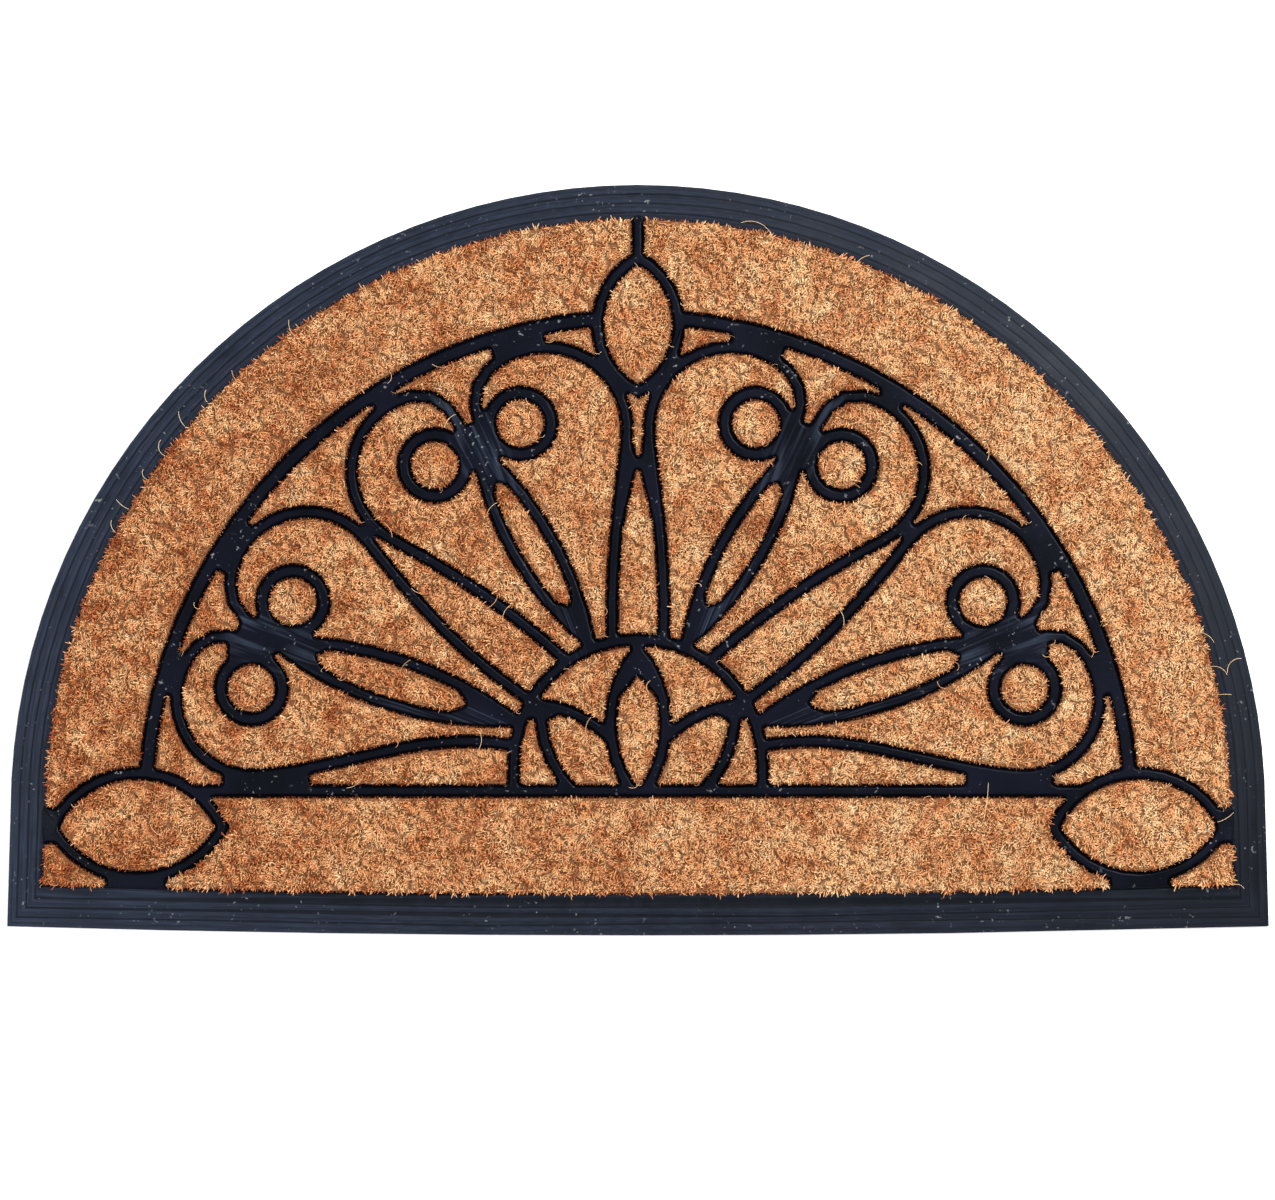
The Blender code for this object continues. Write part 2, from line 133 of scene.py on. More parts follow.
def mergeCopy(piece):
    editPiece(piece)
    bpy.ops.mesh.select_all(action="SELECT")
    bpy.ops.mesh.remove_doubles(threshold=0.01 * mm)
    bpy.ops.mesh.select_all(action="DESELECT")


def socketIn(node, name):
    return next(socket for socket in node.inputs if socket.name == name and socket.enabled)


def socketOut(node, name):
    return next(socket for socket in node.outputs if socket.name == name and socket.enabled)


def feed(tree, node, feeds):
    # feeds maps a socket's name or number to a value, or to a link from another node:
    # a node alone stands for its first output, and (node, name) for its output of that name
    for slot, value in feeds.items():
        socket = node.inputs[slot] if isinstance(slot, int) else socketIn(node, slot)
        if isinstance(value, bpy.types.Node):
            value = (value, next(out.name for out in value.outputs if out.enabled))
        if isinstance(value, tuple) and isinstance(value[0], bpy.types.Node):
            tree.links.new(socketOut(*value), socket)
        elif socket.type == "RGBA":
            socket.default_value = (*value[:3], 1)
        else:
            socket.default_value = value


def addNode(tree, kind, place, feeds=None, **settings):
    node = tree.nodes.new(kind)
    node.location = place
    for name, value in settings.items():
        setattr(node, name, value)
    feed(tree, node, feeds or {})
    return node


def mathNode(tree, kind, place, *values):
    return addNode(tree, "ShaderNodeMath", place, dict(enumerate(values)), operation=kind)


def vectorMath(tree, kind, place, *values):
    slots = (0, "Scale") if kind == "SCALE" else range(len(values))
    return addNode(tree, "ShaderNodeVectorMath", place, dict(zip(slots, values)), operation=kind)


def chainNodes(tree, kind, place, first, parts):
    # first combined with each part in turn
    for number, part in enumerate(parts):
        first = mathNode(tree, kind, (place[0] + 150 * number, place[1]), first, part)
    return first


def mapRange(tree, place, source, fromRange=(0.0, 1.0), toRange=(0.0, 1.0)):
    return addNode(tree, "ShaderNodeMapRange", place, {
        "Value": source, "From Min": fromRange[0], "From Max": fromRange[1],
        "To Min": toRange[0], "To Max": toRange[1]})


def mixColour(tree, place, factor, first, second, blend="MIX"):
    return addNode(tree, "ShaderNodeMix", place, {"Factor": factor, "A": first, "B": second},
                   data_type="RGBA", blend_type=blend)


def toneColour(tree, place, colour, tone):
    # the colour times a grey of that tone
    grey = addNode(tree, "ShaderNodeCombineColor", (place[0] - 200, place[1] - 250),
                   {"Red": tone, "Green": tone, "Blue": tone})
    return mixColour(tree, place, 1.0, colour, grey, "MULTIPLY")


def addRamp(tree, place, source, colours):
    ramp = addNode(tree, "ShaderNodeValToRGB", place, {"Fac": source})
    stops = ramp.color_ramp.elements
    while len(stops) < len(colours):
        stops.new(0.5)
    for stop, (at, colour) in zip(stops, colours):
        stop.position = at
        stop.color = (*colour, 1)
    return ramp


def newMaterial(name, fixed):
    material = bpy.data.materials.new(name)
    material.use_nodes = True
    shader = material.node_tree.nodes["Principled BSDF"]
    feed(material.node_tree, shader, fixed)
    return material, material.node_tree, shader


def effectGroup(name, inputs, outputs):
    group = bpy.data.node_groups.new(name, "ShaderNodeTree")
    for label, kind, value in inputs:
        group.interface.new_socket(label, in_out="INPUT", socket_type=kind).default_value = value
    for label in outputs:
        group.interface.new_socket(label, in_out="OUTPUT", socket_type="NodeSocketFloat")
    start = addNode(group, "NodeGroupInput", (-900, 0))
    return group, start, addNode(group, "NodeGroupOutput", (700, 0))


studio = {
    "aim": (-0.0003, -0.0241, 0.005),
    "elevation": 89.9,
    "distance": 2.6,
    "viewWidth": 0.7696,
    "sensorWidth": 36.0,
    "clip": (0.01, 50.0),
    "floorSize": 6.0,
    "floorColour": (0.93, 0.93, 0.93),
    "floorRoughness": 0.9,
    "floorShine": 0.1,
    "worldStrength": 1.26,
    "worldColour": (1.0, 1.0, 1.0),
    "keyPower": 50.0,
    "keyPlace": (0.9, 0.7, 1.7),
    "keySize": 0.9,
    "fillPower": 12.0,
    "fillPlace": (-1.2, -0.4, 1.6),
    "fillSize": 1.2,
}


def setCamera():
    lens = bpy.data.cameras.new("viewCamera")
    camera = bpy.data.objects.new("viewCamera", lens)
    bpy.context.scene.collection.objects.link(camera)
    lens.sensor_width = studio["sensorWidth"]
    lens.lens = lens.sensor_width * studio["distance"] / studio["viewWidth"]
    lens.clip_start, lens.clip_end = studio["clip"]
    rise = math.radians(studio["elevation"])
    back = Vector((0.0, -math.cos(rise), math.sin(rise)))
    camera.location = Vector(studio["aim"]) + back * studio["distance"]
    camera.rotation_euler = (-back).to_track_quat("-Z", "Y").to_euler()
    bpy.context.scene.camera = camera


def addSoftLight(name, place, size, power):
    clearSelection()
    bpy.ops.object.light_add(type="AREA", location=place)
    light = bpy.context.object
    light.name = name
    light.data.shape = "DISK"
    light.data.size = size
    light.data.energy = power
    light.rotation_euler = Vector(place).to_track_quat("Z", "Y").to_euler()


def setStudio():
    clearSelection()
    bpy.ops.mesh.primitive_plane_add(size=studio["floorSize"], location=(0, 0, 0))
    floor = bpy.context.object
    floor.name = "studioFloor"
    paint = newMaterial("paleFloor", {
        "Base Color": studio["floorColour"], "Roughness": studio["floorRoughness"],
        "Specular IOR Level": studio["floorShine"]})[0]
    floor.data.materials.append(paint)
    world = bpy.data.worlds.new("studioSky")
    bpy.context.scene.world = world
    world.use_nodes = True
    feed(world.node_tree, world.node_tree.nodes["Background"], {
        "Color": studio["worldColour"], "Strength": studio["worldStrength"]})
    addSoftLight("keyLight", studio["keyPlace"], studio["keySize"], studio["keyPower"])
    addSoftLight("fillLight", studio["fillPlace"], studio["fillSize"], studio["fillPower"])
    bpy.context.scene.view_settings.view_transform = "Standard"


setCamera()
setStudio()
print("stage: camera, floor and light set")


effects = {
    "speckScale": 400.0,
    "speckDetail": 1.0,
    "speckRange": (0.68, 0.76),
    "patchScale": 45.0,
    "patchDetail": 2.0,
    "patchRange": (0.46, 0.66),
    "cloudScale": 28.0,
    "cloudDetail": 4.0,
    "skinScale": 1400.0,
}


def makeDustGroup():
    # pale specks and lint, a mask from 0 to 1
    group, start, end = effectGroup("lintAndDust", [
        ("Vector", "NodeSocketVector", (0, 0, 0)), ("Amount", "NodeSocketFloat", 0.5),
        ("Speck Scale", "NodeSocketFloat", effects["speckScale"]),
        ("Patch Scale", "NodeSocketFloat", effects["patchScale"])], ["Mask"])
    masks = []
    for label, y in (("speck", 150), ("patch", -150)):
        noise = addNode(group, "ShaderNodeTexNoise", (-600, y), {
            "Vector": start, "Scale": (start, label.title() + " Scale"),
            "Detail": effects[label + "Detail"]})
        masks.append(mapRange(group, (-350, y), noise, effects[label + "Range"]))
    masks.append((start, "Amount"))
    feed(group, end, {"Mask": chainNodes(group, "MULTIPLY", (-100, 0), masks[0], masks[1:])})
    return group


def makeGrainGroup():
    # cloudy unevenness, and the moulded rubber's fine skin
    group, start, end = effectGroup("rubberGrain", [("Vector", "NodeSocketVector", (0, 0, 0))],
                                    ["Cloud", "Skin"])
    cloud = addNode(group, "ShaderNodeTexNoise", (-600, 150), {
        "Vector": start, "Scale": effects["cloudScale"], "Detail": effects["cloudDetail"]})
    skin = addNode(group, "ShaderNodeTexNoise", (-600, -150), {
        "Vector": start, "Scale": effects["skinScale"]})
    feed(group, end, {"Cloud": cloud, "Skin": skin})
    return group


def makeStreakGroup():
    # noise drawn out into streaks by its two scales
    labels = ("Across", "Across Scale", "Along", "Along Scale")
    group, start, end = effectGroup(
        "drawnStreaks", [(label, "NodeSocketFloat", 1.0) for label in labels], ["Streak"])
    across = mathNode(group, "MULTIPLY", (-650, 150), (start, "Across"), (start, "Across Scale"))
    along = mathNode(group, "MULTIPLY", (-650, -150), (start, "Along"), (start, "Along Scale"))
    strip = addNode(group, "ShaderNodeCombineXYZ", (-400, 0), {"X": across, "Y": along})
    noise = addNode(group, "ShaderNodeTexNoise", (-150, 0), {"Vector": strip, "Scale": 1.0})
    feed(group, end, {"Streak": noise})
    return group


lintAndDust, rubberGrain, drawnStreaks = makeDustGroup(), makeGrainGroup(), makeStreakGroup()


tray = {
    "ridgeTop": 9.0,
    "ridgeFrom": 6.2,
    "ridgeRound": 1.9,
    "ridgeSteps": 4,
    "ridgeAngle": 25.0,
    "levelWithin": 0.05,
    "rimWithin": 0.1,
    "mergeAngle": 1.0,
    "smoothAngle": 38.0,
    "shineTint": (0.80, 0.88, 1.0),
    "dustColour": (0.24, 0.25, 0.26),
    # painted shade, in the border's grooves and on the ridges' slopes
    "shadowColour": (0.0010, 0.0014, 0.0030),
    "cloudRange": (0.3, 0.7),
    "skinBump": (0.25, 0.3),
    "border": {"colour": (0.0072, 0.0098, 0.0172), "shine": 0.10, "roughness": (0.42, 0.58),
               "dust": 0.5, "cloudTones": (0.8, 1.25)},
    # the ridges: the same rubber painted darker, as shade in the narrow channels between the coir fields
    "ridge": {"colour": (0.0010, 0.0014, 0.0040), "shine": 0.06, "roughness": (0.24, 0.38),
              "dust": 0.6, "cloudTones": (0.55, 1.7)},
    # grooves of the border: their pitch, and widths as parts of it
    "groovePitch": 5.6,
    "grooveWidth": (0.14, 0.06),
    "grooveDark": 0.85,
    "crestWidth": (0.34, 0.14),
    "crestTones": (0.92, 1.32),
    "acrossReach": 380.0,
    "acrossTone": (1.00, 0.36),
    "alongReach": 220.0,
    "alongTone": (0.96, 1.12),
    "streakRun": 26.0,
    "streakFine": 1100.0,
    "streakNoise": (0.35, 0.70),
    "streakTones": (0.82, 1.55),
    # how far up a face looks, on a ridge's top and on its slope: the slopes take the painted shade
    "slopeRange": (0.97, 0.70),
    # painted highlights: lines on the webs, and the distances and bearings from the sun where they show
    "sunY": -134.0,
    "spokeFine": 85.0,
    "spokeRun": 22.0,
    "spokeNoise": (0.48, 0.72),
    "spokeColour": (0.014, 0.019, 0.030),
    "spokeReach": ((80.0, 90.0), (272.0, 258.0)),
    "spokeAt": (0.36, 1.126),  # radians
    "spokeWide": (0.085, 0.045),  # radians
}


def addStreaks(tree, place, across, along, noiseRange, tones=(0.0, 1.0)):
    # across and along are each a coordinate and its scale
    streaks = addNode(tree, "ShaderNodeGroup", place, {
        "Across": across[0], "Across Scale": across[1], "Along": along[0], "Along Scale": along[1]},
        node_tree=drawnStreaks)
    return mapRange(tree, (place[0] + 200, place[1]), streaks, noiseRange, tones)


def borderTones(tree, place, colour, cloud):
    # painted shade: a dark line along each groove, by the distance in from the rim
    rim = addNode(tree, "ShaderNodeAttribute", (-1500, 400), attribute_name="fromRim")
    pitch = mathNode(tree, "DIVIDE", (-1300, 400), (rim, "Fac"), tray["groovePitch"] * mm)
    nearest = mathNode(tree, "ROUND", (-1150, 500), pitch)
    off = mathNode(tree, "SUBTRACT", (-1150, 350), pitch, nearest)
    width = mathNode(tree, "ABSOLUTE", (-1000, 350), off)
    line = mapRange(tree, (-1000, 550), width, tray["grooveWidth"], (0.0, tray["grooveDark"]))
    inner = mathNode(tree, "GREATER_THAN", (-1000, 750), pitch, 0.5)
    groove = mathNode(tree, "MULTIPLY", (-850, 550), line, inner)
    lined = mixColour(tree, (-850, 250), groove, colour, tray["shadowColour"])
    # each rib is paler where its outer edge catches the light
    crest = mapRange(tree, (-1000, 950), off, tray["crestWidth"], tray["crestTones"])
    # the tone drifts over the mat, and paler and darker streaks run along the ribs
    sides = addNode(tree, "ShaderNodeSeparateXYZ", (-1300, -250), {"Vector": (place, "Object")})
    drifts = []
    for axis, label in (("X", "across"), ("Y", "along")):
        reach = tray[label + "Reach"] * mm
        drifts.append(mapRange(tree, (-1100, -250), (sides, axis), (-reach, reach),
                               tray[label + "Tone"]))
    bearing = mathNode(tree, "ARCTAN2", (-1300, -550), (sides, "Y"), (sides, "X"))
    streaking = addStreaks(tree, (-1100, -550), (bearing, tray["streakRun"]),
                      ((rim, "Fac"), tray["streakFine"]), tray["streakNoise"], tray["streakTones"])
    return lined, chainNodes(tree, "MULTIPLY", (-900, -350), cloud, [*drifts, crest, streaking])


def ridgeTones(tree, place, colour, cloud):
    # painted shade: the sloping sides are dark, where the coir beside them shades them, and the tops
    # paler
    upright = addNode(tree, "ShaderNodeSeparateXYZ", (-1300, 450), {"Vector": (place, "Normal")})
    side = mapRange(tree, (-1100, 450), (upright, "Z"), tray["slopeRange"])
    sloped = mixColour(tree, (-850, 250), side, colour, tray["shadowColour"])
    # faint pale lines on the webs of the scrolls and slim leaves, running out from the sun: a painted
    # highlight, the sheen along the ridges' rounded lines
    fromSun = vectorMath(tree, "SUBTRACT", (-1500, -900), (place, "Object"), (0, tray["sunY"] * mm, 0))
    reach = vectorMath(tree, "LENGTH", (-1300, -1050), fromSun)
    spokes = addNode(tree, "ShaderNodeSeparateXYZ", (-1300, -900), {"Vector": fromSun})
    aside = mathNode(tree, "ABSOLUTE", (-1200, -900), (spokes, "X"))
    bearing = mathNode(tree, "ARCTAN2", (-1150, -900), (spokes, "Y"), aside)
    streaking = addStreaks(tree, (-1000, -900), (bearing, tray["spokeFine"]),
                      (reach, tray["spokeRun"]), tray["spokeNoise"])
    windows = []
    for spokeAt in tray["spokeAt"]:
        turn = mathNode(tree, "SUBTRACT", (-900, 900), bearing, spokeAt)
        apart = mathNode(tree, "ABSOLUTE", (-800, 900), turn)
        windows.append(mapRange(tree, (-700, 900), apart, tray["spokeWide"]))
    limits = [mathNode(tree, "SUBTRACT", (-700, 600), 1.0, side),
              mathNode(tree, "MAXIMUM", (-550, 900), *windows)]
    for gone, full in tray["spokeReach"]:
        limits.append(mapRange(tree, (-700, 750), reach, (gone * mm, full * mm)))
    mask = chainNodes(tree, "MULTIPLY", (-600, 600), streaking, limits)
    return mixColour(tree, (-700, 350), mask, sloped, tray["spokeColour"]), cloud


def makeRubber(name, look, addTones):
    rubber, tree, shader = newMaterial(name, {
        "Specular IOR Level": look["shine"], "Specular Tint": tray["shineTint"]})
    place = addNode(tree, "ShaderNodeTexCoord", (-1500, 0))
    grain = addNode(tree, "ShaderNodeGroup", (-1200, -50), {"Vector": (place, "Object")},
                    node_tree=rubberGrain)
    cloud = mapRange(tree, (-900, -50), grain, tray["cloudRange"], look["cloudTones"])
    colour, tone = addTones(tree, place, look["colour"], cloud)
    lint = addNode(tree, "ShaderNodeGroup", (-600, -50), {
        "Vector": (place, "Object"), "Amount": look["dust"]}, node_tree=lintAndDust)
    varied = toneColour(tree, (-600, 200), colour, tone)
    dusty = mixColour(tree, (-350, 150), lint, varied, tray["dustColour"])
    wear = mapRange(tree, (-600, -300), grain, tray["cloudRange"], look["roughness"])
    strength, depth = tray["skinBump"]
    bump = addNode(tree, "ShaderNodeBump", (-350, -400), {
        "Strength": strength, "Distance": depth * mm, "Height": (grain, "Skin")})
    feed(tree, shader, {"Base Color": dusty, "Roughness": wear, "Normal": bump})
    return rubber


def markRim(piece):
    # how far each point lies in from the tray's rim, for lines that follow it
    mesh = piece.data
    rim = []
    for edge in mesh.edges:
        ends = [mesh.vertices[index].co for index in edge.vertices]
        if all(end.z < tray["rimWithin"] * mm for end in ends):
            rim.append(tuple(end.to_2d() for end in ends))
    layer = mesh.attributes.new("fromRim", "FLOAT", "POINT")
    for number, vert in enumerate(mesh.vertices):
        spot = vert.co.to_2d()
        nearest = 1.0
        for first, last in rim:
            run = last - first
            part = max(0.0, min(1.0, (spot - first).dot(run) / max(run.length_squared, 1e-12)))
            nearest = min(nearest, (spot - first - run * part).length_squared)
        layer.data[number].value = math.sqrt(nearest)


def makeTray():
    piece = copyOfNode("rubber_tray", "rubberTray")
    mergeCopy(piece)
    bpy.ops.mesh.select_all(action="SELECT")
    bpy.ops.mesh.dissolve_limited(angle_limit=math.radians(tray["mergeAngle"]))
    bpy.ops.mesh.select_all(action="DESELECT")
    bpy.ops.mesh.select_mode(type="EDGE")
    top, sharp = tray["ridgeTop"] * mm, math.radians(tray["ridgeAngle"])

    def ridgeEdge(edge):
        level = all(abs(vert.co.z - top) < tray["levelWithin"] * mm for vert in edge.verts)
        return level and len(edge.link_faces) == 2 and edge.calc_face_angle(0) > sharp

    selectParts(piece, "edges", ridgeEdge)
    bpy.ops.mesh.bevel(offset=tray["ridgeRound"] * mm, segments=tray["ridgeSteps"], affect="EDGES",
                       clamp_overlap=False)
    bpy.ops.mesh.select_all(action="DESELECT")
    bpy.ops.object.mode_set(mode="OBJECT")
    pickOnly(piece)
    bpy.ops.object.shade_smooth_by_angle(angle=math.radians(tray["smoothAngle"]))
    bpy.ops.object.modifier_add(type="WEIGHTED_NORMAL")
    piece.modifiers[-1].keep_sharp = True
    bpy.ops.object.modifier_apply(modifier=piece.modifiers[-1].name)
    markRim(piece)
    piece.data.materials.append(makeRubber("borderRubber", tray["border"], borderTones))
    piece.data.materials.append(makeRubber("ridgeRubber", tray["ridge"], ridgeTones))
    # the ridges take the darker copy of the rubber: painted shade between the coir fields
    for face in piece.data.polygons:
        face.material_index = 1 if face.center.z > tray["ridgeFrom"] * mm else 0
    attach(piece, "root")
    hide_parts("rubber_tray")
    return piece


makeTray()
print("stage: rubber tray rounded")


pile = {
    # heights of the crown's shoulder and top, in the solids and under the tufts
    "cadShoulder": 10.4, "cadTop": 12.6,
    "matShoulder": 9.7, "matTop": 10.5,
    "levelWithin": 0.05,
    "edgeIn": 0.9,
    # strands of a tuft: turn, lean and root
    "strands": ((-38.0, 34.0, (-0.30, 0.10)), (4.0, 20.0, (0.05, -0.25)), (41.0, 44.0, (0.28, 0.18))),
    "strandLength": 4.7,
    "strandWidth": 0.94,
    "strandTaper": (0.55, 0.93),
    "tuftKinds": 5,
    "lengthStep": 0.09,
    "turnStep": 9.0,
    "leanFrom": 0.75,
    "leanStep": 0.17,
    "upFrom": 0.15,
    "spacing": 1.14,
    "densityMax": 1.8,
    "seed": 7,
    "clumpScale": 320.0,
    "clumpLean": 1.40,
    "clumpPull": 0.15,
    "clumpShade": 0.15,
    "clumpTurn": 0.65,  # radians
    "warpScale": 416.0,
    "warpReach": 2.4,
    "randomLean": 0.36,
    "randomUp": 0.15,
    "upright": 1.5,
    "sizeRange": (0.80, 1.20),
    "rimClear": 0.45,
    "rimReach": 2.4,
    "rimLean": 0.18,
    "rimInward": -0.62,
    "rimSize": 0.72,
    "raggedOut": 2.30,
    "raggedCentre": (0.0, -0.140, 0.0),  # metres
    # single strands that stand up along the sides
    "wallKinds": 3,
    "wallTurn": 40.0,
    "wallStep": 0.08,
    "wallSpacing": 1.5,
    "wallDensity": 1.0,
    "wallFrom": 4.6,
    "wallLean": 0.22,
    "wallLoose": 0.22,
    "wallUp": 0.1,
    "wallSize": (0.60, 0.95),
    # shade from rust at 0 to straw at 1
    "wallShade": -0.08,
    # rust and painted shade: darker towards the rim, where the pile falls away
    "rimRustAndShade": -0.33,
    "chanceShade": 0.13,
    "strandShade": 0.17,
    "patchScale": 62.0,
    "patchDetail": 3.0,
    "patchRange": (0.3, 0.7),
    "patchShade": (-0.27, 0.26),
    "driftRange": (-380.0, 200.0),
    "driftShade": (0.34, 0.585),
    "shadeColours": ((0.00, (0.400, 0.095, 0.026)), (0.22, (0.680, 0.255, 0.085)),
                     (0.50, (0.880, 0.490, 0.225)), (0.78, (0.970, 0.650, 0.345)),
                     (1.00, (0.990, 0.780, 0.480))),
    # painted shade down each strand: darker towards the root, deep in the pile
    "rootRange": (0.25, 0.85),
    "rootShade": 0.27,
    "roughness": 0.62,
    "shine": 0.3,
    # painted shade: the matting between the tufts is dark brown, the pile's shaded depths
    "matColours": ((0.0, (0.06, 0.020, 0.008)), (0.5, (0.17, 0.070, 0.026)), (1.0, (0.32, 0.15, 0.06))),
    "matScale": 900.0,
    "matDetail": 3.0,
    "matBump": (0.8, 0.6),
    "matRoughness": 0.8,
    "matShine": 0.2,
}

strays = {
    "perField": 0.0022,
    "radius": 0.12,
    "edgeRadius": 0.06,
    "laidRadius": 0.11,
    "kinds": ((5.5, 70.0), (8.0, 105.0), (11.0, 60.0), (7.0, 150.0)),
    "steps": 6,
    "lift": 2.0,
    "tilt": 0.16,  # radians
    "shades": (0.35, 1.0),
    "overEdge": 1,
    "edgePitch": 110.0,
    "edgeLength": (2.0, 4.6),
    "edgeBend": (25.0, 130.0),
    "edgeSwing": 0.9,  # radians
    "edgeTilt": (0.02, 0.16),  # radians
    "rimWithin": 0.1,
    "edgeDeep": (0.5, 1.4),
    "edgeShades": (0.3, 0.9),
    "seed": 23,
    # start in plan, heading in degrees from +Y to +X, length, bend, height, shade
    "laid": (
        (62.0, 203.0, 68.0, 22.0, 88.0, 12.0, 0.75),
        (358.5, -152.0, 222.0, 11.5, 35.0, 12.4, 0.85),
        (210.8, -134.2, 182.0, 23.0, 10.0, 13.4, 1.0),
        (-306.5, 30.5, 290.0, 10.0, 35.0, 11.0, 1.0),
        (-284.5, 62.5, 288.0, 12.0, 110.0, 11.0, 1.0),
        (-294.5, 48.0, 275.0, 9.0, 115.0, 11.0, 1.0),
        (-273.0, 80.5, 315.0, 10.0, 45.0, 11.0, 1.0),
        (-259.5, 95.0, 320.0, 8.0, 70.0, 11.0, 1.0),
        (-313.0, 16.0, 285.0, 10.0, 95.0, 11.0, 1.0),
        (355.0, -68.0, 352.0, 14.0, 105.0, 10.6, 0.9),
        (344.5, -64.5, 72.0, 12.5, 85.0, 11.0, 0.8),
        (348.0, -81.5, 78.0, 9.5, 20.0, 10.8, 0.8),
        (358.0, -196.0, 60.0, 8.0, 90.0, 10.5, 0.8),
    ),
}


def markStrand(strand, name, values):
    # values is one number for all points, or a list
    if isinstance(values, float):
        values = [values] * len(strand.data.vertices)
    layer = strand.data.attributes.new(name, "FLOAT", "POINT")
    layer.data.foreach_set("value", values)


def addFibre(name, length, bend, thick):
    # a fibre bent in plan: a small triangle spun round, starting at the origin along +Y
    radius = length / math.radians(bend)
    clearSelection()
    bpy.ops.mesh.primitive_circle_add(vertices=3, radius=thick, location=(0, 0, 0), fill_type="NGON",
                                      rotation=(math.radians(90), 0, 0))
    fibre = bpy.context.object
    fibre.name = name
    placeHere(fibre)
    editPiece(fibre)
    bpy.ops.mesh.select_all(action="SELECT")
    bpy.ops.mesh.spin(steps=strays["steps"], angle=math.radians(bend), center=(radius, 0, 0),
                      axis=(0, 0, 1))
    bpy.ops.mesh.select_all(action="SELECT")
    bpy.ops.mesh.remove_doubles(threshold=0.001 * mm)
    bpy.ops.mesh.normals_make_consistent(inside=False)
    bpy.ops.object.mode_set(mode="OBJECT")
    markStrand(fibre, "along", 1.0)
    markStrand(fibre, "strandTone", 0.5)
    return fibre


def makeStrays():
    kinds = bpy.data.collections.new("strayKinds")
    for number, (length, bend) in enumerate(strays["kinds"]):
        moveTo(kinds, addFibre("stray_%d" % number, length * mm, bend, strays["radius"] * mm))
    return kinds


def addStrand(lean, turn, length, root, tone):
    # a fibre end: a narrow cone whose root and tip are both short edges
    width = pile["strandWidth"] * mm
    broad, tip = pile["strandTaper"]
    clearSelection()
    bpy.ops.mesh.primitive_cone_add(vertices=3, radius1=width * broad, radius2=0, depth=length,
                                    end_fill_type="NGON", location=(0, 0, length / 2))
    strand = bpy.context.object
    placeHere(strand)
    editPiece(strand)
    selectParts(strand, "verts", lambda vert: vert.co.z < 0.1 * mm and vert.co.y > width * 0.4)
    bpy.ops.transform.translate(value=(0, 0, length * tip))
    bpy.ops.mesh.select_all(action="SELECT")
    turnSelected("X", math.radians(lean))
    turnSelected("Z", math.radians(turn))
    bpy.ops.transform.translate(value=(root[0] * mm, root[1] * mm, 0))
    bpy.ops.mesh.normals_make_consistent(inside=False)
    bpy.ops.object.mode_set(mode="OBJECT")
    lengths = [vert.co.length for vert in strand.data.vertices]
    markStrand(strand, "along", [min(1.0, part / max(lengths)) for part in lengths])
    markStrand(strand, "strandTone", tone)
    return strand


def makeTufts():
    tufts = bpy.data.collections.new("tuftKinds")
    for kind in range(pile["tuftKinds"]):
        strands = []
        for place, (turn, lean, root) in enumerate(pile["strands"]):
            length = pile["strandLength"] * mm * (1.0 - pile["lengthStep"] * ((place * 2 + kind) % 4))
            way = turn + pile["turnStep"] * ((kind * 2 + place) % 3 - 1)
            lean *= pile["leanFrom"] + pile["leanStep"] * ((kind + place) % 3)
            strands.append(addStrand(lean, way, length, root, ((place * 3 + kind * 2) % 5) / 4.0))
        moveTo(tufts, joinPieces(strands, "tuft_%d" % kind))
    return tufts


def makeWallStrands():
    kinds = bpy.data.collections.new("wallKinds")
    for kind in range(pile["wallKinds"]):
        length = pile["strandLength"] * mm * (1.0 - pile["wallStep"] * kind)
        tone = kind / (pile["wallKinds"] - 1)
        strand = addStrand(0.0, pile["wallTurn"] * kind, length, (0.0, 0.0), tone)
        strand.name = "wallStrand_%d" % kind
        moveTo(kinds, strand)
    return kinds


def makeCoir():
    coir, tree, shader = newMaterial("coirFibre", {
        "Roughness": pile["roughness"], "Specular IOR Level": pile["shine"]})
    shade = addNode(tree, "ShaderNodeAttribute", (-900, 200), attribute_name="shade")
    along = addNode(tree, "ShaderNodeAttribute", (-900, -100), attribute_name="along")
    ramp = addRamp(tree, (-650, 200), (shade, "Fac"), pile["shadeColours"])
    # painted shade: each strand is darker towards its root, where the pile shades it
    root = mapRange(tree, (-650, -100), (along, "Fac"), pile["rootRange"], (pile["rootShade"], 1.0))
    feed(tree, shader, {"Base Color": toneColour(tree, (-250, 150), ramp, root)})
    return coir


def makeMatting():
    matting, tree, shader = newMaterial("coirMatting", {
        "Roughness": pile["matRoughness"], "Specular IOR Level": pile["matShine"]})
    place = addNode(tree, "ShaderNodeTexCoord", (-1000, 0))
    grain = addNode(tree, "ShaderNodeTexNoise", (-750, 0), {
        "Vector": (place, "Object"), "Scale": pile["matScale"], "Detail": pile["matDetail"]})
    # the matting's dark brown is painted shade of the depths between the tufts; its noise is grain
    ramp = addRamp(tree, (-450, 0), grain, pile["matColours"])
    strength, depth = pile["matBump"]
    bump = addNode(tree, "ShaderNodeBump", (-250, -250), {
        "Strength": strength, "Distance": depth * mm, "Height": grain})
    feed(tree, shader, {"Base Color": ramp, "Normal": bump})
    return matting


def compareNode(tree, kind, place, first, second):
    return addNode(tree, "FunctionNodeCompare", place, {"A": first, "B": second},
                   data_type="FLOAT", operation=kind)


def chanceNode(tree, kind, place, low, high, seed):
    return addNode(tree, "FunctionNodeRandomValue", place, {"Min": low, "Max": high, "Seed": seed},
                   data_type=kind)


def scatterNode(tree, method, place, start, where, feeds):
    return addNode(tree, "GeometryNodeDistributePointsOnFaces", place, {
        "Mesh": start, "Selection": where, "Seed": (start, "Seed"), **feeds}, distribute_method=method)


